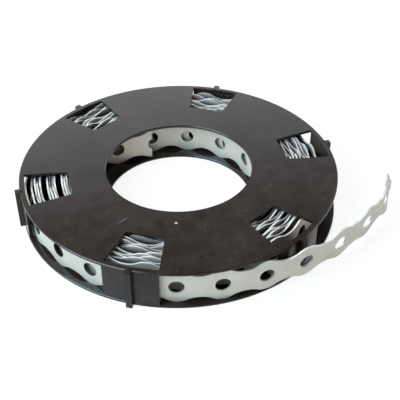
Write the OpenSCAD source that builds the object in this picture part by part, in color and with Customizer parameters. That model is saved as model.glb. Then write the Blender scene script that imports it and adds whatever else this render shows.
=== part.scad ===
// A roll of wavy-edged perforated steel strap, wound in a two-piece black dispenser cassette,
// with the strap's free end led out of one side gap. Millimetres, +Z up, lying on its lower plate.
// The origin is on the cassette's axis at the lower plate's outer face, and +X runs through a window.

/* [Strap] */
// Width over the wave crests, at the holes
strap_w = 17; // [14:0.5:26]
// Width at the necks, midway between the holes
neck_w = 12; // [9:0.5:13]
// Thickness of the steel
strap_t = 0.8; // [0.6:0.05:1]
// Diameter of the holes
hole_d = 7; // [4:0.5:8]
// Distance from hole to hole along the strap
pitch = 20; // [18:0.5:26]

/* [Coil] */
// Turns that show on the ends of the coil
coil_turns = 17; // [8:1:17]
// Radial distance from turn to turn
turn_step = 1.76; // [1.1:0.01:1.78]
// Room between the coil and the wall, where they come closest
coil_play = 0.6; // [0.4:0.1:0.8]
// How far the coil sits off the cassette's axis
coil_offset = 3; // [2:0.1:3.2]
// Direction in which the coil sits off the axis
coil_offset_a = 140; // [130:0.5:150]

/* [Inner end] */
// How far the innermost turn sits off the cassette's axis
inner_offset = 2.8; // [2.6:0.1:3]
// Direction in which the innermost turn sits off the axis
inner_offset_a = 111; // [100:0.5:120]
// Direction of the bend at the inner end, seen from the innermost turn's middle
inner_bend_at_a = 125; // [120:0.5:130]
// Bend at the inner end
inner_bend_a = 31; // [20:1:32]
// Distance of that bend past the hole before it
inner_bend_at = 2; // [0:0.5:6]
// Length of the straight inner end, from the bend to the cut
inner_length = 18; // [10:0.5:19]

/* [Free end] */
// Room between the wall and the strap on its way to the outlet
lead_play = 1; // [0.9:0.1:1.5]
// Direction in which the free end leaves the wall, seen from the cassette's axis
outlet_a = -112.8; // [-118:0.2:-108]
// Radius of the free end where it leaves the wall
near_r = 97; // [85:1:120]
// Radius of the free end further out
far_r = 124; // [105:1:180]
// Small turn inwards where the free end leaves the wall
spring_a = 0.3; // [0.2:0.1:1]
// Lean of the free end, top outwards
lean_a = 5.5; // [2:0.5:6]
// Bend near the tip
bend_a = 18; // [5:1:40]
// Distance of that bend past the last full neck
bend_at = 4; // [1:0.5:5]
// Length of the tip along its lower edge, from the bend to the cut
tip_length = 18; // [14:0.5:20]
// Slant of the tip's cut
tip_cut_a = 30; // [0:1:35]

/* [Cassette] */
// Outside diameter of the two plates
cassette_d = 155; // [153:0.5:165]
// Diameter of the bore through both plates
bore_d = 71.5; // [60:0.5:72]
// Thickness of each plate
plate_t = 1.4; // [1:0.1:3]
// Room above the strap between the plates
headroom = 0.4; // [0.2:0.1:1.5]
// Chamfer along the plates' edges
plate_chamfer = 0.3; // [0.1:0.05:0.45]

/* [Windows and wall tabs] */
// Number of windows around each plate
windows = 6; // [3:1:6]
// Angle that a window spans
window_a = 19; // [12:0.5:26]
// Inner radius of the windows
window_r = 54; // [45:0.5:62]
// Radius of the windows' inner corners
window_corner = 2; // [0.5:0.25:4]
// Ledge of plate left between a window and the wall
window_ledge = 0.4; // [0.2:0.1:2]
// Thickness of the wall tabs
wall_t = 1.8; // [1:0.1:2]
// How far the plates' rims stand out past the wall tabs
rim = 0.2; // [0.1:0.05:0.5]
// Thickness of each lip at the middle of a tab
lip_t = 1.4; // [0.8:0.1:2.5]
// How far the lips stand out of the wall
lip_h = 2.2; // [1:0.1:4]

/* [Hidden] */
$fn = 96;

cassette_r = cassette_d / 2;
bore_r = bore_d / 2;
cavity_h = strap_w + headroom;
cassette_h = cavity_h + 2 * plate_t;
tab_r = cassette_r - rim;
wall_r = tab_r - wall_t;
window_step = 360 / windows;

crest_r = strap_w / 2;
neck_h = neck_w / 2;
strap_z = plate_t + crest_r;
// Half the length of the flat on top of a crest
crest_flat = 0.9;
// The crests' arcs round the holes
crest_arc_r = norm([crest_r, crest_flat]);
// Neck arcs, a little flatter than those that would only touch the crests' arcs
neck_ease = 0.2;
neck_r = (pow(pitch / 2, 2) + pow(neck_h, 2) - pow(crest_arc_r, 2)) / (2 * (crest_arc_r - neck_h)) + neck_ease;
neck_z = neck_h + neck_r;
// Height at which a crest's arc turns into a neck's arc
turnover_z = crest_arc_r * neck_z / (crest_arc_r + neck_r);

// Whole pitches of the free end on each of its two arcs
near_pitches = 2;
far_pitches = 4;
// How far stretches of the one strap reach into each other
lap = 1;
weld = 0.1;
// Room past a face, for cuts
past = 1;
// Flats along an arc of an outline
arc_steps = 8;
// Depth of the cuts through the strap, which clears its curve over one pitch
cut_t = 6 * strap_t;

// Radius of the outermost turn, at the middle of the steel
coil_r = wall_r - coil_offset - coil_play - strap_t / 2;
// The turns inside the outermost one
core_outer_r = coil_r - strap_t / 2 + weld;
core_inner_r = coil_r - coil_turns * turn_step - strap_t / 2;
core_h = neck_h - weld;
coil_middle = coil_offset * [cos(coil_offset_a), sin(coil_offset_a), 0];
// The strap's way along the wall, from the point where it leaves the coil to the outlet
lead_r = wall_r - lead_play - strap_t / 2;
lead_from_a = coil_offset_a
    + acos((pow(lead_r, 2) - pow(coil_r, 2) - pow(coil_offset, 2)) / (2 * coil_r * coil_offset));
lead_from = coil_middle + coil_r * [cos(lead_from_a), sin(lead_from_a), 0];
lead_a = (outlet_a - atan2(lead_from.y, lead_from.x) + 360) % 360;
lead_length = lead_a / arc_a(lead_r) * pitch;
// The innermost turn leans on the turns round it
inner_middle = inner_offset * [cos(inner_offset_a), sin(inner_offset_a), 0];
inner_r = core_inner_r - norm(inner_middle - coil_middle) - strap_t / 2 + 2 * weld;
inner_holes = floor(360 / arc_a(inner_r)) - 1;

// Upper plate with its half tabs, the lower shell turned over about X
module upper_shell() {
    color("#1c1b1b")
        translate([0, 0, cassette_h])
            rotate([180, 0, 0])
                half_shell();
}

// Lower plate with its half tabs
module lower_shell() {
    color("#1c1b1b") half_shell();
}

// The strap: the wound coil, its outermost and innermost turns, and the free end
module strap() {
    color("#b9b9b4")
        translate([0, 0, strap_z]) {
            translate(coil_middle) {
                coil();
                outer_turn();
            }
            translate(inner_middle) inner_turn();
            free_end();
        }
}

// One moulded half of the cassette; the two halves are alike
module half_shell() {
    difference() {
        plate();
        for (i = [0 : windows - 1])
            rotate([0, 0, i * window_step])
                translate([0, 0, -past])
                    linear_extrude(plate_t + 2 * past) window_outline();
    }
    for (i = [0 : windows - 1])
        rotate([0, 0, i * window_step]) {
            half_tab();
            lip();
        }
}

// Ring plate with chamfered edges
module plate() {
    c = plate_chamfer;
    rotate_extrude()
        polygon([
            [bore_r + c, 0], [cassette_r - c, 0], [cassette_r, c], [cassette_r, plate_t - c],
            [cassette_r - c, plate_t], [bore_r + c, plate_t], [bore_r, plate_t - c], [bore_r, c]
        ]);
}

// Window with radial sides and rounded inner corners, about +X
module window_outline() {
    half_a = window_a / 2;
    corner_at = window_r + window_corner;
    corner_a = half_a - asin(window_corner / corner_at);
    corner = corner_at * [cos(corner_a), sin(corner_a)];
    half = concat(
        arc_points([0, 0], wall_r - window_ledge, 0, half_a),
        arc_points(corner, window_corner, half_a + 90, corner_a + 180),
        [window_r * [1, 0]]
    );
    polygon(concat(half, [for (i = [len(half) - 2 : -1 : 1]) [half[i].x, -half[i].y]]));
}

// Sector of a flat ring, centred on +X
module ring_sector(inner, outer, angle) {
    reach = 2 * outer;
    intersection() {
        difference() {
            circle(outer);
            circle(inner);
        }
        polygon([[0, 0], reach * [cos(angle / 2), -sin(angle / 2)], reach * [cos(angle / 2), sin(angle / 2)]]);
    }
}

// Half of a wall tab, from its own plate to the other one
module half_tab() {
    translate([0, 0, plate_t / 2])
        rotate([0, 0, window_a / 4])
            linear_extrude(cavity_h + plate_t / 2)
                ring_sector(wall_r, tab_r, window_a / 2);
}

// Lip that backs onto the other half's lip, over the full height
module lip() {
    translate([wall_r + wall_t / 2, 0, 0])
        cube([wall_t / 2 + rim + lip_h, lip_t, cassette_h]);
}

// Wound turns as one turned solid, with every turn standing up on both ends
module coil() {
    rotate_extrude() {
        translate([core_inner_r, -core_h]) square([core_outer_r - core_inner_r, 2 * core_h]);
        for (i = [1 : coil_turns])
            translate([coil_r - i * turn_step, 0]) square([strap_t, strap_w], center = true);
    }
}

// Outermost turn, up to the point where the strap leaves the coil; it starts well behind the strap's lead
module outer_turn() {
    pitches = floor((360 - lead_a) / arc_a(coil_r));
    past_neck = ceil(lead_length / pitch) * pitch - lead_length;
    on_circle(coil_r, lead_from_a)
        after_length(coil_r, -past_neck) strap_arc(coil_r, -pitches * pitch, past_neck + lap);
}

// Loose innermost turn, with its straight inner end that was cut just short of the next hole
module inner_turn() {
    from_neck = pitch / 2 - inner_bend_at;
    on_circle(inner_r, inner_bend_at_a) {
        after_length(inner_r, from_neck) strap_arc(inner_r, -from_neck, inner_holes * pitch);
        rotate([0, 0, -inner_bend_a])
            translate([from_neck, 0, 0])
                strap_flat(-from_neck - inner_length, strap_t - from_neck);
    }
}

// Free end: along the wall, then two arcs that open out, a lean between them, a bend and the tip
module free_end() {
    on_circle(lead_r, outlet_a) {
        strap_arc(lead_r, -lead_length - lap, lap);
        rotate([0, 0, spring_a]) {
            strap_arc(near_r, -lap, near_pitches * pitch + lap);
            after_length(near_r, near_pitches * pitch)
                rotate([lean_a, 0, 0]) {
                    strap_arc(far_r, -lap, far_pitches * pitch + bend_at);
                    after_length(far_r, far_pitches * pitch + bend_at)
                        rotate([0, 0, bend_a])
                            translate([-bend_at, 0, 0]) tip();
                }
        }
    }
}

// Last stretch of the strap, cut off on a slant
module tip() {
    difference() {
        strap_flat(bend_at - strap_t, bend_at + tip_length + lap);
        translate([bend_at + tip_length, 0, -neck_h])
            rotate([0, -tip_cut_a, 0])
                translate([0, -strap_w, -strap_w]) cube([pitch, 2 * strap_w, 3 * strap_w]);
    }
}

// Puts a start of strap on a circle, heading counter-clockwise
module on_circle(radius, angle) {
    rotate([0, 0, angle + 90]) translate([0, -radius, 0]) children();
}

// Moves along an arc that starts at the origin along +X and bends to +Y
module after_length(radius, length) {
    translate([0, radius, 0])
        rotate([0, 0, length / pitch * arc_a(radius)])
            translate([0, -radius, 0]) children();
}

// Strap along an arc; lengths count from a neck
module strap_arc(radius, from, to) {
    difference() {
        after_length(radius, from)
            translate([0, radius, 0])
                rotate([0, 0, -90])
                    rotate_extrude(angle = (to - from) / pitch * arc_a(radius))
                        translate([radius, 0]) square([strap_t, strap_w], center = true);
        for (x = neck_places(from, to)) after_length(radius, x) neck_cut();
        for (x = hole_places(from, to)) after_length(radius, x) hole_cut();
    }
}

// Flat strap along +X; lengths count from a neck
module strap_flat(from, to) {
    difference() {
        translate([from, -strap_t / 2, -crest_r]) cube([to - from, strap_t, strap_w]);
        for (x = neck_places(from, to)) translate([x, 0, 0]) neck_cut();
        for (x = hole_places(from, to)) translate([x, 0, 0]) hole_cut();
    }
}

// Takes the neck out of both edges of the strap
module neck_cut() {
    for (side = [-90, 90])
        rotate([side, 0, 0])
            linear_extrude(cut_t, center = true) neck_outline();
}

// The space over a neck, between two crests
module neck_outline() {
    above = pitch - crest_flat;
    difference() {
        union() {
            translate([0, neck_z]) circle(neck_r);
            translate([-above / 2, turnover_z]) square([above, crest_r]);
        }
        for (x = [-pitch / 2, pitch / 2]) translate([x, 0]) circle(crest_arc_r);
    }
}

// A hole through the strap
module hole_cut() {
    rotate([90, 0, 0]) cylinder(d = hole_d, h = cut_t, center = true);
}

// Necks and holes within a stretch, with those that only reach into it
function neck_places(from, to) = [for (i = [floor(from / pitch) : ceil(to / pitch)]) i * pitch];
function hole_places(from, to) =
    [for (i = [floor(from / pitch) : ceil(to / pitch)]) (i + 0.5) * pitch];

// Points along an arc, both ends included
function arc_points(middle, radius, from, to) =
    [for (i = [0 : arc_steps]) middle + radius * [
        cos(from + (to - from) * i / arc_steps), sin(from + (to - from) * i / arc_steps)
    ]];

// Angle of one pitch on an arc
function arc_a(radius) = pitch / radius * 180 / PI;

upper_shell();
lower_shell();
strap();
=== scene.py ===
"""Looks and scene for a roll of wavy-edged perforated steel strap in a black dispenser cassette."""
import math

import bmesh
import bpy
import numpy as np
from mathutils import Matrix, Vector


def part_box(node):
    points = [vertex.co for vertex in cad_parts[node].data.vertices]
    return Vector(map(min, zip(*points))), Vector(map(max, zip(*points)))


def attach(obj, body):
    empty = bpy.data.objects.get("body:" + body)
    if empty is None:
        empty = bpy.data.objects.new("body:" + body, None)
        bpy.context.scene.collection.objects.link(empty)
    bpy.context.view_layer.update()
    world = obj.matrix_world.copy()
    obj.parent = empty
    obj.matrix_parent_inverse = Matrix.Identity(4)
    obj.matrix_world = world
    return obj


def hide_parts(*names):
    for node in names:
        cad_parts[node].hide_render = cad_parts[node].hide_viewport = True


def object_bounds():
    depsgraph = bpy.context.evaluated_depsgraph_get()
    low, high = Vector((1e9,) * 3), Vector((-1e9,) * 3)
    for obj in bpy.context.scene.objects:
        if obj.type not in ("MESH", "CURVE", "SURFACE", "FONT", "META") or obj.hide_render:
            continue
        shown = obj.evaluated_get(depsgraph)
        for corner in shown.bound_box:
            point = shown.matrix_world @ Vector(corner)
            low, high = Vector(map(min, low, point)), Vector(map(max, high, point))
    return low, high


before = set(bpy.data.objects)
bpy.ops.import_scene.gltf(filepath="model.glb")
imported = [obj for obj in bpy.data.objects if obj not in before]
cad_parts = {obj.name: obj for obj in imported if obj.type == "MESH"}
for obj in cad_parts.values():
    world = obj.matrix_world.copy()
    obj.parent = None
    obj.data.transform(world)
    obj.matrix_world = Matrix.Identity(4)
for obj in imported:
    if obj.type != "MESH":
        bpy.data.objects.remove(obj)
cad_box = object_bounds()

MM = 0.001
WHOLE_TURN = 2 * math.pi

# Strap, in millimetres like all lengths below that have no other unit
STRAP_W = 17.0
NECK_W = 12.0
STRAP_T = 0.8
HOLE_R = 3.5
PITCH = 20.0
STRAP_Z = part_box("strap")[0].z / MM + STRAP_W / 2
# Half the flat on top of a crest, and how much larger the necks' arcs are than arcs that touch the crests'
CREST_FLAT = 0.9
NECK_EASE = 0.2

# Coil: its middle as a distance and a direction from the cassette's axis, its outermost turn and its turns
COIL_OFFSET = 3.0
COIL_OFFSET_A = math.radians(140)
COIL_R = 71.5
COIL_TURNS = 17
TURN_STEP = 1.76
# Way along the wall to the outlet: its radius, the directions between which the strap leaves the coil for
# it, its dip between two wall tabs, and the outlet's direction
LEAD_R = 74.1
LEAD_FROM = math.radians(150)
LEAD_TO = math.radians(180)
LEAD_DIP = 0.9
OUTLET_A = math.radians(-112.8)
# Bulge of the outermost turn towards the wall, over a share of the turn
OUTER_BULGE = 1.5
OUTER_BULGE_SHARE = 0.75
# Place where the strap leans against a wall tab, how far it does so and over what angle
WALL_PRESS_AT = math.radians(172)
WALL_PRESS = 0.7
WALL_PRESS_A = math.radians(10)
# Share of a turn over which the strap keeps its radius, before it steps in by one turn
STEADY_SHARE = 0.3
# Turns after which the winding gets loose, turns over which that fades in and out, and the largest shift
LOOSE_FROM = 0.5
LOOSE_FADE = 1.2
LOOSE_SHIFT = 0.9
# Turns in one loose bundle, where the first one starts and how it drifts round the coil
BUNDLE = 4
BUNDLE_FROM = 0.96
BUNDLE_DRIFT = 0.7
# Direction in which the bundles are loosest, how fast that falls off, and how loose they are opposite it
BUNDLE_AT = math.radians(180)
BUNDLE_FALL = 4
BUNDLE_LEAST = 0.45
# Small radial waves of the loose turns: size, waves per turn and phase
WANDER = ((0.06, 0.37, 1.3), (0.05, 1.73, 0.0))
# Play of the turns in height, and its waves per turn
HEIGHT_PLAY = 0.34
HEIGHT_WAVES = 1.15

# Loose innermost turn: its middle as a distance and a direction from the cassette's axis, its radius, and
# the share of a turn over which the strap comes in to it
INNER_OFFSET = 2.8
INNER_OFFSET_A = math.radians(111)
INNER_R = 39.5
INNER_EASE = 0.8
# Bend of the straight inner end, and its length past the bend
INNER_BEND_AT = math.radians(134)
INNER_BEND = math.radians(40)
INNER_BEND_LENGTH = 4.0
INNER_LENGTH = 26.0
# How far the strap leans out before that bend and over what angle, and the steps of the turns that it
# presses outwards: of the first one, and of each one after it
INNER_LEAN = 4.6
INNER_LEAN_A = math.radians(48)
FIRST_STEP = 1.0
PRESSED_STEP = 1.05
# Direction of the outermost turn's crest that stands at a corner of a window
CREST_A = math.radians(109.5)
# Holes in view: one on the innermost turn, by its direction, and one past the bend
INNER_HOLE_A = math.radians(95.2)
INNER_HOLE_AT = 7.5

# Free end: its turn at the outlet, two arcs with a lean between them, the bend, and the twisted tip with its
# slanting cut
SPRING = math.radians(0.3)
NEAR_R = 97.0
FAR_R = 124.0
NEAR_LENGTH = 40.0
FAR_LENGTH = 87.5
LEAN = math.radians(5.5)
LEAN_LENGTH = 24.0
BEND = math.radians(18.5)
BEND_LENGTH = 8.0
TIP_LENGTH = 24.0
TIP_CUT = math.radians(40)
TIP_TWIST = math.radians(-12)
TAIL_LENGTH = NEAR_LENGTH + FAR_LENGTH + TIP_LENGTH

# Mesh of the strap: step of its middle line, decimals for merging corners, and least angle of a sharp edge
LINE_STEP = 0.4
MERGE_DECIMALS = 3
SHARP_A = math.radians(35)
# Pitches of the turn behind the innermost one, which shows through its holes, and pitches at an end that
# its cut may cross
BEHIND = 15
END_PITCHES = 4
# Tolerance of that cut in metres, and the share of a pitch over which the strap's direction is taken there
CUT_TOLERANCE = 1e-7
CUT_NUDGE = 0.01
# Material slots of the strap: its faces in view, its sheared edges, and its faces inside the coil, which
# carry painted shade towards the strap's middle height
FACE_SLOT, EDGE_SLOT, COIL_SHADE_SLOT = 0, 1, 2

# Marks on the upper plate: place, half sizes, turn and colour of the moulding gate and of a scratch. The
# gate's pale colour is a painted glint on its small nub; the scratch's paler colour is its own.
PLATE_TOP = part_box("upper_shell")[1].z / MM
GATE_GLINT_AND_SCRATCH = (
    ((-12.0, -42.5, PLATE_TOP), (0.8, 0.8, 2.0), 0.0, (0.42, 0.4, 0.37)),
    ((-34.5, -34.2, PLATE_TOP), (3.6, 0.3, 2.0), math.radians(30), (0.1, 0.094, 0.088)),
)

# Camera, from the fit of the cassette's circles, in metres
CAMERA_AT = Vector((-0.07456, -0.3106, 0.2500))
CAMERA_AIM = Vector((0.00275, -0.02924, 0.0202))
CAMERA_LENS = 72

# Surroundings: what the sweep and the room give off, the tilt of the sweep's upper edge, the heights
# between which it fades, its share at the sides, and the directions between which that grows to the whole
SWEEP_COLOUR = (2.25, 2.3, 2.4)
ROOM_COLOUR = (0.06, 0.056, 0.05)
SWEEP_TILT = 0.14
SWEEP_EDGE = (0.51, 0.59)
SIDE_SHARE = 0.3
SIDE_FADE = (0.1, 0.6)

# Floor: its size in metres, its grey and how much of its white it gives off; the ring under the cassette
# that gives off none, as shares of the cassette's radius, and the width of its soft edges in metres
FLOOR_SIZE = 6
FLOOR_GREY = 0.9
FLOOR_GLOW = 0.9
BARE_FLOOR = (0.46, 1.0)
FLOOR_EDGE = 0.002


def smooth(x):
    """Eased step from 0 to 1."""
    x = np.clip(x, 0, 1)
    return x * x * (3 - 2 * x)


def hump(x):
    """Smooth hump of height 1 between 0 and 1."""
    return np.sin(np.pi * np.clip(x, 0, 1)) ** 2


def towards(angle):
    """Unit vectors in the given directions."""
    return np.stack([np.cos(angle), np.sin(angle)], -1)


def gone_to(angle):
    """Angle that the strap has gone from the outlet, inwards, where it first comes to a direction."""
    return (OUTLET_A - angle) % WHOLE_TURN


def turns_in(u):
    """Whole turn steps that the strap has come in after u turns, eased over the end of each turn."""
    whole = np.floor(u)
    return whole + smooth((u - whole - STEADY_SHARE) / (1 - STEADY_SHARE))


def loose_share(u):
    """How loose the winding is after u turns: not at all at the coil's start and end."""
    return smooth((u - LOOSE_FROM) / LOOSE_FADE) * smooth((COIL_TURNS - u) / LOOSE_FADE)


def looseness(u, angle):
    """Radial shift of the loosely wound turns, which gathers them in bundles that drift round the coil."""
    part = ((u - BUNDLE_FROM + BUNDLE_DRIFT * np.sin(angle)) / BUNDLE) % 1
    close = 1 - 1 / BUNDLE
    shift = np.where(part < close, 2 * part / close - 1, 1 - 2 * smooth((part - close) / (1 - close)))
    depth = BUNDLE_LEAST + (1 - BUNDLE_LEAST) * np.cos((angle - BUNDLE_AT) / 2) ** BUNDLE_FALL
    wander = sum(size * np.sin(WHOLE_TURN * waves * u + phase) for size, waves, phase in WANDER)
    return loose_share(u) * (LOOSE_SHIFT * depth * shift + wander)


def coil_radius(u, angle):
    """Radius of the coil's turns after u turns."""
    bulge = OUTER_BULGE * hump(u / OUTER_BULGE_SHARE)
    return COIL_R + bulge - TURN_STEP * turns_in(u) + looseness(u, angle)


def wall_press(gone):
    """Shift outwards where the strap leans against a wall tab."""
    return WALL_PRESS * np.exp(-(((gone - gone_to(WALL_PRESS_AT)) / WALL_PRESS_A) ** 2))


def pressed_radius(angle, turns_left):
    """Least radius of the turns that the inner end presses outwards, by the turns left to its bend."""
    away = np.abs((angle - INNER_BEND_AT + math.pi) % WHOLE_TURN - math.pi)
    lean = np.cos(np.pi / 2 * np.clip(away / INNER_LEAN_A, 0, 1)) ** 2
    last = np.minimum(turns_left, 1)
    return INNER_R + lean * (INNER_LEAN + FIRST_STEP * last) + PRESSED_STEP * (turns_left - last)


def inner_end(start):
    """Points of the straight inner end from its bend on, with a pitch more than is kept."""
    length = np.arange(LINE_STEP, INNER_LENGTH + PITCH, LINE_STEP)
    heading = INNER_BEND_AT - math.pi / 2 - INNER_BEND * smooth(length / INNER_BEND_LENGTH)
    return start + np.cumsum(LINE_STEP * towards(heading), 0)


def wound_line():
    """Points of the strap's middle line from the outlet inwards, and the indices of four of them.

    They are the end of its way along the wall, a crest in view, a hole in view on the innermost turn, and
    the inner end's bend.
    """
    lead_end, coil_start = gone_to(LEAD_TO), gone_to(LEAD_FROM)
    bend = WHOLE_TURN * (COIL_TURNS + 1) + gone_to(INNER_BEND_AT)
    hole = bend - WHOLE_TURN + INNER_BEND_AT - INNER_HOLE_A
    gone = np.arange(0, bend, LINE_STEP / COIL_R)
    angle = OUTLET_A - gone
    u = np.maximum(gone - (lead_end + coil_start) / 2, 0) / WHOLE_TURN
    on_coil = smooth((gone - lead_end) / (coil_start - lead_end))
    on_inner = smooth((gone - hole) / (INNER_EASE * WHOLE_TURN) + 1)

    lead_radius = LEAD_R - LEAD_DIP * hump(gone / lead_end)
    turn_radius = coil_radius(u, angle) * (1 - on_inner) + INNER_R * on_inner
    radius = lead_radius * (1 - on_coil) + turn_radius * on_coil + wall_press(gone)
    radius = np.maximum(radius, pressed_radius(angle, (bend - gone) / WHOLE_TURN))
    middle = np.outer(on_coil * (1 - on_inner), COIL_OFFSET * towards(COIL_OFFSET_A))
    middle += np.outer(on_inner, INNER_OFFSET * towards(INNER_OFFSET_A))
    wound = middle + radius[:, None] * towards(angle)
    end = inner_end(wound[-1])

    play = HEIGHT_PLAY * loose_share(u) * (1 + np.sin(WHOLE_TURN * HEIGHT_WAVES * u)) / 2
    height = STRAP_Z + np.append(play, np.zeros(len(end)))
    marks = [*np.searchsorted(gone, [lead_end, gone_to(CREST_A), hole]), len(wound)]
    return np.column_stack([np.vstack([wound, end]), height]), marks


def turned(axis, angle):
    """Rotation matrix about a frame's own X or Z axis."""
    c, s = math.cos(angle), math.sin(angle)
    if axis == "Z":
        return np.array([[c, -s, 0], [s, c, 0], [0, 0, 1]])
    return np.array([[1, 0, 0], [0, c, -s], [0, s, c]])


def tail_turn(s):
    """Curve and twist of the free end at a length s from the outlet, in radians per millimetre."""
    from_bend = s - NEAR_LENGTH - FAR_LENGTH
    if abs(from_bend) < BEND_LENGTH / 2:
        return BEND / BEND_LENGTH, TIP_TWIST / BEND_LENGTH
    if from_bend > 0:
        return 0, 0
    curve = 1 / NEAR_R if s < NEAR_LENGTH else 1 / FAR_R
    leans = abs(s - NEAR_LENGTH) < LEAN_LENGTH / 2
    return curve, LEAN / LEAN_LENGTH if leans else 0


def tail_line():
    """Points, frames and lengths of the free end, with a pitch more than is kept."""
    heading = OUTLET_A + math.pi / 2 + SPRING
    axes = turned("Z", heading)
    at = np.array([*(LEAD_R * towards(OUTLET_A)), STRAP_Z])
    points, frames, lengths = [at], [axes], [0.0]
    for s in np.arange(0, TAIL_LENGTH + PITCH, LINE_STEP):
        curve, twist = tail_turn(s)
        axes = axes @ turned("Z", curve * LINE_STEP) @ turned("X", twist * LINE_STEP)
        at = at + axes[:, 0] * LINE_STEP
        points.append(at)
        frames.append(axes)
        lengths.append(s + LINE_STEP)
    return np.array(points), np.array(frames), np.array(lengths)


class Route:
    """The strap's middle line from its inner end to its tip, by length from the outlet."""

    def __init__(self):
        wound, marks = wound_line()
        gone = np.append(0, np.cumsum(np.linalg.norm(np.diff(wound, axis=0), axis=1)))
        along = -np.gradient(wound[:, :2], axis=0)
        along /= np.linalg.norm(along, axis=1)[:, None]
        flat = np.zeros(len(wound))
        out = np.column_stack([along[:, 1], -along[:, 0], flat])
        up = np.column_stack([flat, flat, flat + 1])
        points, frames, lengths = tail_line()
        outwards = slice(None, 0, -1)
        self.length = np.append(-gone[outwards], lengths)
        self.at = np.vstack([wound[outwards], points])
        self.out = np.vstack([out[outwards], -frames[:, :, 1]])
        self.up = np.vstack([up[outwards], frames[:, :, 2]])
        self.lead, self.crest, self.inner_hole, self.bend = -gone[marks]
        self.pitches()

    def pitches(self):
        """Lengths at which whole pitches end, counted from the outlet, with what is in view at its place."""
        hole = self.bend - INNER_HOLE_AT
        crest_q, turn_q = (round(place / PITCH - 0.5) + 0.5 for place in (self.crest, self.inner_hole))
        hole_q = turn_q - round((self.inner_hole - hole) / PITCH)
        self.first = math.floor(hole_q) - 1
        self.last = math.ceil(TAIL_LENGTH / PITCH)
        self.inner_to = math.ceil(turn_q) + BEHIND
        start, stop = hole_q - 2, self.last + 1
        self.q = [start, hole_q, turn_q, crest_q, self.lead / PITCH, 0, stop]
        self.q_length = [
            hole + (start - hole_q) * PITCH, hole, self.inner_hole, self.crest, self.lead, 0, stop * PITCH
        ]

    def place(self, q, height, depth):
        """Points on the strap at pitch count q, height over its middle line and depth outwards from it."""
        length = np.interp(q, self.q, self.q_length)
        at, out, up = (
            np.stack([np.interp(length, self.length, part[:, i]) for i in range(3)], -1)
            for part in (self.at, self.out, self.up)
        )
        return at + out * np.asarray(depth)[..., None] + up * np.asarray(height)[..., None]


def edge_height(x):
    """Half the strap's width at a distance x from a hole."""
    crest_r = math.hypot(STRAP_W / 2, CREST_FLAT)
    half, neck = PITCH / 2, NECK_W / 2
    neck_r = (half**2 + neck**2 - crest_r**2) / (2 * (crest_r - neck)) + NECK_EASE
    neck_z = neck + neck_r
    x = np.abs(x)
    crest = np.minimum(np.sqrt(np.maximum(crest_r**2 - x**2, 0)), STRAP_W / 2)
    valley = neck_z - np.sqrt(np.maximum(neck_r**2 - (half - x) ** 2, 0))
    return np.where(x * neck_z < half * crest, crest, valley)


def cell(edge_parts, side_parts, rings):
    """One pitch of the flat strap as rings of points, from the hole to the cell's outline.

    Also says which stretches of the outline are the strap's edges.
    """
    half, neck, corner = PITCH / 2, NECK_W / 2, math.radians(30)
    side = np.linspace(-1, 1, side_parts + 1)[:-1]
    edge = np.linspace(1, -1, edge_parts + 1)[:-1] * half
    right = np.column_stack([np.full(side_parts, half), neck * side])
    top = np.column_stack([edge, edge_height(edge)])
    outline = np.vstack([right, top, -right, -top])
    quarter = np.concatenate([corner * side, np.linspace(corner, math.pi - corner, edge_parts + 1)[:-1]])
    hole = HOLE_R * towards(np.concatenate([quarter, quarter + math.pi]))
    share = np.linspace(0, 1, rings + 1)[:, None, None]
    is_edge = np.tile(np.arange(side_parts + edge_parts) >= side_parts, 2)
    return hole + (outline - hole) * share, is_edge


def strap_faces(route, pitches, shape, outer_slot, inner_slot):
    """Corners of the quads of some pitches of strap, and their material slots."""
    points, is_edge = shape
    rings, count = len(points) - 1, points.shape[1]
    here, then = np.arange(count), (np.arange(count) + 1) % count
    rim = np.flatnonzero(is_edge)
    after = then[rim]
    quads, slots = [], []
    for pitch in pitches:
        q = pitch + 0.5 + points[..., 0] / PITCH
        outer, inner = (
            route.place(q, points[..., 1], np.full(q.shape, depth)) for depth in (STRAP_T / 2, -STRAP_T / 2)
        )
        for ring in range(rings):
            (a, b), (c, d) = outer[ring : ring + 2], inner[ring : ring + 2]
            quads.append(np.stack([a[here], b[here], b[then], a[then]], 1))
            quads.append(np.stack([c[then], d[then], d[here], c[here]], 1))
        quads.append(np.stack([outer[0, here], outer[0, then], inner[0, then], inner[0, here]], 1))
        quads.append(np.stack([outer[-1, rim], inner[-1, rim], inner[-1, after], outer[-1, after]], 1))
        slots += ([outer_slot] * count + [inner_slot] * count) * rings
        slots += [inner_slot] * count + [EDGE_SLOT] * len(rim)
    return np.concatenate(quads), slots


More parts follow.
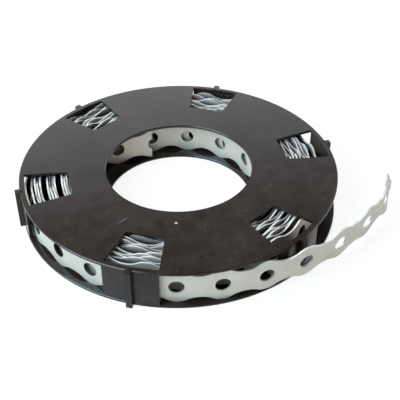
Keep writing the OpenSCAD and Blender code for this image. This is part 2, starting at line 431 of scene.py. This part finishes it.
def strap_band(made):
    """The whole strap as one mesh, fine where it shows and coarser inside the coil, cut off at both ends."""
    route = Route()
    fine, plain = cell(edge_parts=20, side_parts=6, rings=3), cell(edge_parts=8, side_parts=6, rings=2)
    inner_turn = range(route.first, route.inner_to)
    outer_turn = range(-math.ceil(WHOLE_TURN * COIL_R / PITCH) - 1, 0)
    parts = [
        strap_faces(route, inner_turn, fine, FACE_SLOT, FACE_SLOT),
        strap_faces(route, range(inner_turn.stop, outer_turn.start), plain, COIL_SHADE_SLOT, COIL_SHADE_SLOT),
        strap_faces(route, outer_turn, fine, FACE_SLOT, COIL_SHADE_SLOT),
        strap_faces(route, range(route.last + 1), fine, FACE_SLOT, FACE_SLOT),
    ]
    corners = np.concatenate([quads for quads, slots in parts]).reshape(-1, 3)
    merged, index = np.unique(np.round(corners, MERGE_DECIMALS), axis=0, return_inverse=True)
    mesh = bpy.data.meshes.new("strap_band")
    mesh.from_pydata((merged * MM).tolist(), [], index.reshape(-1, 4).tolist())
    for one in made:
        mesh.materials.append(one)
    mesh.polygons.foreach_set("material_index", [slot for quads, slots in parts for slot in slots])
    trim(mesh, route, END_PITCHES * len(parts[0][0]) // len(inner_turn))
    mesh.polygons.foreach_set("use_smooth", [True] * len(mesh.polygons))
    mesh.set_sharp_from_angle(angle=SHARP_A)
    return link(bpy.data.objects.new("strap_band", mesh))


def trim(mesh, route, end_faces):
    """Cuts both ends of the strap off, each within so many faces, and closes them.

    The inner one is cut straight across, the tip on a slant.
    """
    bm = bmesh.new()
    bm.from_mesh(mesh)
    for part, length, way, slant in (
        (slice(-end_faces, None), TAIL_LENGTH, 1, TIP_CUT),
        (slice(0, end_faces), route.bend - INNER_LENGTH, -1, 0.0),
    ):
        bm.faces.ensure_lookup_table()
        faces = bm.faces[part]
        point, normal = cut_plane(route, length, way, slant)
        bmesh.ops.bisect_plane(
            bm,
            geom=[*{v for f in faces for v in f.verts}, *{e for f in faces for e in f.edges}, *faces],
            dist=CUT_TOLERANCE,
            plane_co=point,
            plane_no=normal,
            clear_outer=True,
        )
    ends = bmesh.ops.holes_fill(bm, edges=[e for e in bm.edges if e.is_boundary], sides=0)
    for face in ends["faces"]:
        face.material_index = EDGE_SLOT
    bmesh.ops.recalc_face_normals(bm, faces=bm.faces)
    bm.to_mesh(mesh)
    bm.free()


def cut_plane(route, length, way, slant):
    """Point and normal of the plane that cuts the strap at a length, measured along its lower edge."""
    q = np.interp(length, route.q_length, route.q)
    low, above, ahead = (
        route.place(np.array(place), np.array(height), np.array(0.0))
        for place, height in ((q, -NECK_W / 2), (q, NECK_W / 2), (q + way * CUT_NUDGE, -NECK_W / 2))
    )
    along, up = Vector(ahead - low).normalized(), Vector(above - low).normalized()
    return Vector(low) * MM, along * math.cos(slant) + up * math.sin(slant)


def link(obj):
    """Puts an object into the scene."""
    bpy.context.scene.collection.objects.link(obj)
    return obj


def dress(obj, made):
    """Gives an object one material in place of what it has."""
    obj.data.materials.clear()
    obj.data.materials.append(made)
    return obj


def material(name):
    """A new node material with its node tree and its shader."""
    made = bpy.data.materials.new(name)
    made.use_nodes = True
    tree = made.node_tree
    return made, tree, tree.nodes["Principled BSDF"]


def grey(value):
    """Colour with the same value in red, green and blue."""
    return (value, value, value)


def noise(tree, scale, detail=3.0, stretch=(1, 1, 1), turn=(0, 0, 0)):
    """Value of a noise on the object's own coordinates, in metres."""
    coordinates = tree.nodes.new("ShaderNodeTexCoord")
    mapping = tree.nodes.new("ShaderNodeMapping")
    mapping.inputs["Scale"].default_value = stretch
    mapping.inputs["Rotation"].default_value = turn
    texture = tree.nodes.new("ShaderNodeTexNoise")
    texture.inputs["Scale"].default_value = scale
    texture.inputs["Detail"].default_value = detail
    tree.links.new(coordinates.outputs["Object"], mapping.inputs["Vector"])
    tree.links.new(mapping.outputs["Vector"], texture.inputs["Vector"])
    return texture.outputs["Fac"]


def ramp(tree, value, *stops):
    """Colour ramp with the given (position, colour) stops."""
    node = tree.nodes.new("ShaderNodeValToRGB")
    elements = node.color_ramp.elements
    while len(elements) < len(stops):
        elements.new(0.5)
    for element, (position, colour) in zip(elements, stops):
        element.position = position
        element.color = (*colour, 1)
    tree.links.new(value, node.inputs["Fac"])
    return node.outputs["Color"]


def mixed(tree, kind, share, first, second):
    """Blend of two colours by a share; each of the three may be a socket."""
    node = tree.nodes.new("ShaderNodeMix")
    node.data_type = "RGBA"
    node.blend_type = kind
    for name, value in (("Factor", share), ("A", first), ("B", second)):
        socket = next(s for s in node.inputs if s.name == name and s.enabled)
        if isinstance(value, bpy.types.NodeSocket):
            tree.links.new(value, socket)
        else:
            socket.default_value = value
    return next(s for s in node.outputs if s.enabled)


def calculated(tree, operation, *values):
    """Result of a calculation on values, each of which may be a socket."""
    node = tree.nodes.new("ShaderNodeMath")
    node.operation = operation
    for socket, value in zip(node.inputs, values):
        if isinstance(value, bpy.types.NodeSocket):
            tree.links.new(value, socket)
        else:
            socket.default_value = value
    return node.outputs["Value"]


def bump(tree, shader, height, strength, distance=0.0002):
    """Fine relief on a shader, with its distance in metres."""
    node = tree.nodes.new("ShaderNodeBump")
    node.inputs["Strength"].default_value = strength
    node.inputs["Distance"].default_value = distance
    tree.links.new(height, node.inputs["Height"])
    tree.links.new(node.outputs["Normal"], shader.inputs["Normal"])


def mark(tree, place, size, turn):
    """Small elliptical mark, 1 inside and 0 outside; place and half sizes are in millimetres."""
    coordinates = tree.nodes.new("ShaderNodeTexCoord")
    mapping = tree.nodes.new("ShaderNodeMapping")
    mapping.vector_type = "TEXTURE"
    mapping.inputs["Location"].default_value = Vector(place) * MM
    mapping.inputs["Rotation"].default_value = (0, 0, turn)
    mapping.inputs["Scale"].default_value = Vector(size) * MM
    tree.links.new(coordinates.outputs["Object"], mapping.inputs["Vector"])
    return ramp(tree, distance_of(tree, mapping.outputs["Vector"]), (0.5, grey(1.0)), (1.0, grey(0.0)))


def distance_of(tree, vector):
    """Length of a vector."""
    node = tree.nodes.new("ShaderNodeVectorMath")
    node.operation = "LENGTH"
    tree.links.new(vector, node.inputs[0])
    return node.outputs["Value"]


def black_plastic():
    """Satin moulded plastic, faintly brown, with clouds, scuffs and fine scratches."""
    made, tree, shader = material("black_plastic")
    dark, light, worn = (0.0125, 0.0069, 0.0046), (0.0205, 0.0139, 0.0106), (0.053, 0.045, 0.038)
    clouds = ramp(tree, noise(tree, scale=45, detail=5), (0.35, dark), (0.7, light))
    scuffs = ramp(tree, noise(tree, scale=420, detail=6), (0.62, grey(0)), (0.78, grey(0.5)))
    streaks = noise(tree, scale=30, detail=2, stretch=(0.7, 26, 1), turn=(0, 0, 0.9))
    scratches = ramp(tree, streaks, (0.7, grey(0)), (0.76, grey(0.35)))
    colour = mixed(tree, "MIX", mixed(tree, "ADD", 1.0, scuffs, scratches), clouds, (*worn, 1))
    # Painted glint of the moulding gate's nub, and a scratch's own paler colour
    for place, size, turn, pale in GATE_GLINT_AND_SCRATCH:
        colour = mixed(tree, "MIX", mark(tree, place, size, turn), colour, (*pale, 1))
    tree.links.new(colour, shader.inputs["Base Color"])
    roughness = ramp(tree, noise(tree, scale=160, detail=4), (0.3, grey(0.18)), (0.75, grey(0.27)))
    tree.links.new(roughness, shader.inputs["Roughness"])
    shader.inputs["Specular IOR Level"].default_value = 0.3
    bump(tree, shader, noise(tree, scale=1400, detail=2), strength=0.05)
    return made


def edge_share(tree):
    """How far a point lies from the coil's middle height, as a share of half the strap's width."""
    coordinates = tree.nodes.new("ShaderNodeTexCoord")
    parts = tree.nodes.new("ShaderNodeSeparateXYZ")
    tree.links.new(coordinates.outputs["Object"], parts.inputs[0])
    half = STRAP_W / 2
    height = calculated(tree, "MULTIPLY_ADD", parts.outputs["Z"], 1 / (half * MM), -STRAP_Z / half)
    return calculated(tree, "ABSOLUTE", height)


def galvanised_steel(name, dark, bright, metallic, middle_shade=1.0):
    """Zinc-coated rolled steel: soft spangle, faint clouds and a dull gloss; given a grey below 1 for the
    middle, painted shade darkens it towards the strap's middle height, as between the coil's tight turns.
    """
    made, tree, shader = material(name)
    spangle = tree.nodes.new("ShaderNodeTexVoronoi")
    spangle.inputs["Scale"].default_value = 260
    patches = ramp(tree, spangle.outputs["Color"], (0.1, dark), (0.9, bright))
    clouds = ramp(tree, noise(tree, scale=60), (0.3, grey(0.88)), (0.7, grey(1.0)))
    colour = mixed(tree, "MULTIPLY", 1.0, patches, clouds)
    # Painted shade: darker towards the strap's middle height, where the turns of the coil shade each other
    if middle_shade < 1:
        depth = ramp(tree, edge_share(tree), (0.6, grey(middle_shade)), (1.0, grey(1.0)))
        colour = mixed(tree, "MULTIPLY", 1.0, colour, depth)
    tree.links.new(colour, shader.inputs["Base Color"])
    roughness = ramp(tree, noise(tree, scale=300, detail=4), (0.3, grey(0.42)), (0.75, grey(0.55)))
    tree.links.new(roughness, shader.inputs["Roughness"])
    shader.inputs["Metallic"].default_value = metallic
    bump(tree, shader, noise(tree, scale=900, detail=3), strength=0.08)
    return made


def strap_steel():
    """Materials of the strap, in the order of its slots."""
    return (
        galvanised_steel("galvanised_steel", (0.48, 0.446, 0.372), (0.58, 0.543, 0.455), metallic=0.56),
        galvanised_steel("sheared_steel", (0.53, 0.49, 0.435), (0.61, 0.57, 0.51), metallic=0.55),
        # Faces inside the coil: the same steel with painted shade towards its middle height
        galvanised_steel("coil_shade_steel", (0.47, 0.44, 0.385), (0.58, 0.545, 0.48), metallic=0.5, middle_shade=0.1),
    )


def add_camera():
    """Camera where the photo was taken from."""
    data = bpy.data.cameras.new("camera")
    data.lens = CAMERA_LENS
    data.sensor_width = 36
    data.clip_start = 0.01
    camera = link(bpy.data.objects.new("camera", data))
    camera.location = CAMERA_AT
    camera.rotation_euler = (CAMERA_AIM - CAMERA_AT).to_track_quat("-Z", "Y").to_euler()
    bpy.context.scene.camera = camera


def add_light(name, azimuth, elevation, size, power, colour, distance=0.9):
    """Soft area light; azimuth counts in degrees from the camera's side, to the right."""
    data = bpy.data.lights.new(name, "AREA")
    data.shape = "DISK"
    data.size = size
    data.energy = power
    data.color = colour
    lamp = link(bpy.data.objects.new(name, data))
    side = math.atan2(CAMERA_AT.y, CAMERA_AT.x) + math.radians(azimuth)
    rise = math.radians(elevation)
    level = math.cos(rise)
    lamp.location = distance * Vector((level * math.cos(side), level * math.sin(side), math.sin(rise)))
    lamp.rotation_euler = (-lamp.location).to_track_quat("-Z", "Y").to_euler()


def along(tree, axis):
    """How far a ray's direction runs along an axis."""
    direction = tree.nodes.new("ShaderNodeTexCoord")
    dot = tree.nodes.new("ShaderNodeVectorMath")
    dot.operation = "DOT_PRODUCT"
    dot.inputs[1].default_value = axis
    tree.links.new(direction.outputs["Generated"], dot.inputs[0])
    return dot.outputs["Value"]


def show(tree, share, first, second, output):
    """Shows a mix of two shaders, by a share, at a tree's output node."""
    choose = tree.nodes.new("ShaderNodeMixShader")
    tree.links.new(share, choose.inputs["Fac"])
    tree.links.new(first, choose.inputs[1])
    tree.links.new(second, choose.inputs[2])
    tree.links.new(choose.outputs["Shader"], tree.nodes[output].inputs["Surface"])


def add_world():
    """Bright sweep behind the object, a little higher on the left, in a dark room; the camera sees white."""
    world = bpy.data.worlds.new("world")
    bpy.context.scene.world = world
    world.use_nodes = True
    tree = world.node_tree
    room = tree.nodes["Background"]
    white = tree.nodes.new("ShaderNodeBackground")
    white.inputs["Color"].default_value = (1, 1, 1, 1)
    up = Vector((0, 0, 1))
    ahead = Vector((CAMERA_AIM.x - CAMERA_AT.x, CAMERA_AIM.y - CAMERA_AT.y, 0)).normalized()
    height = along(tree, (up + SWEEP_TILT * ahead.cross(up)).normalized())
    below_edge = ramp(tree, height, (SWEEP_EDGE[0], grey(1.0)), (SWEEP_EDGE[1], grey(0.0)))
    behind = ramp(tree, along(tree, ahead), (SIDE_FADE[0], grey(SIDE_SHARE)), (SIDE_FADE[1], grey(1.0)))
    sweep = mixed(tree, "MULTIPLY", 1.0, below_edge, behind)
    colour = mixed(tree, "MIX", sweep, (*ROOM_COLOUR, 1), (*SWEEP_COLOUR, 1))
    tree.links.new(colour, room.inputs["Color"])
    path = tree.nodes.new("ShaderNodeLightPath")
    seen = path.outputs["Is Camera Ray"]
    show(tree, seen, room.outputs["Background"], white.outputs["Background"], "World Output")


def floor_glow(tree):
    """Share of its own white that the floor gives off: none under the cassette."""
    place = tree.nodes.new("ShaderNodeTexCoord")
    reach = distance_of(tree, place.outputs["Object"])
    bore, rim = (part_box("lower_shell")[1].y * part for part in BARE_FLOOR)
    return ramp(
        tree,
        reach,
        (bore, grey(FLOOR_GLOW)),
        (bore + FLOOR_EDGE, grey(0)),
        (rim - FLOOR_EDGE, grey(0)),
        (rim, grey(FLOOR_GLOW)),
    )


def add_floor():
    """Pale floor that keeps a light shadow, and glows white to the camera, in gloss and in transmission."""
    bpy.ops.mesh.primitive_plane_add(size=FLOOR_SIZE)
    floor = bpy.context.object
    floor.name = "floor"
    floor.location.z = cad_box[0].z
    made, tree, shader = material("pale_floor")
    shader.inputs["Base Color"].default_value = (*grey(FLOOR_GREY), 1)
    shader.inputs["Roughness"].default_value = 1.0
    shader.inputs["Specular IOR Level"].default_value = 0.0
    glow = tree.nodes.new("ShaderNodeEmission")
    path = tree.nodes.new("ShaderNodeLightPath")
    seen = path.outputs["Is Camera Ray"]
    for ray in ("Is Glossy Ray", "Is Transmission Ray"):
        seen = calculated(tree, "ADD", seen, path.outputs[ray])
    share = calculated(tree, "MULTIPLY", seen, floor_glow(tree))
    show(tree, share, shader.outputs["BSDF"], glow.outputs["Emission"], "Material Output")
    dress(floor, made)


bpy.context.scene.view_settings.view_transform = "Standard"
add_camera()
add_world()
add_floor()
add_light("window", azimuth=-62, elevation=42, size=0.8, power=20.5, colour=(0.57, 0.79, 1.0))
add_light("top", azimuth=180, elevation=72, size=0.35, power=2.5, colour=(1.0, 1.0, 1.0))

plastic = black_plastic()
for shell in ("upper_shell", "lower_shell"):
    dress(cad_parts[shell], plastic)

strap = strap_band(strap_steel())
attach(strap, "root")
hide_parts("strap")
